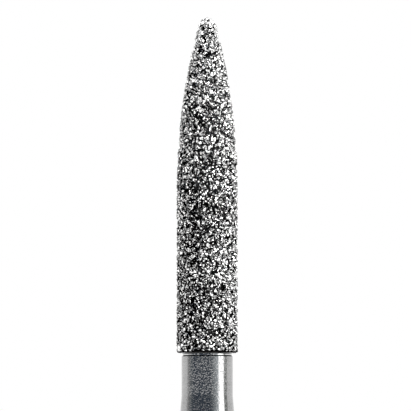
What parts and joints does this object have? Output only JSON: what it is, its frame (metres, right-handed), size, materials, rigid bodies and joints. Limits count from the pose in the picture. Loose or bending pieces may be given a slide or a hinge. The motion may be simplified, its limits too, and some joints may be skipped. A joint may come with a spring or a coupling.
{
  "type": "dental bur",
  "caption": "Diamond dental bur for grinding: a long head of coarse grit with a straight side and a rounded point, on a short neck and a plain shank that a handpiece grips.",
  "frame": {"origin": "centre of the shank's end face", "axes": "+Z along the axis of rotation, from the shank to the point; +X and +Y are any two directions across it"},
  "size_m": [0.0018, 0.0018, 0.0225],
  "materials": {
    "steel": "fine turned, with a dull shine",
    "diamond_coat": "coarse diamond crystals in dark nickel, with bright glints"
  },
  "bodies": {
    "root": {"steel_blank": "steel", "diamond_coat": "diamond_coat"}
  },
  "joints": []
}
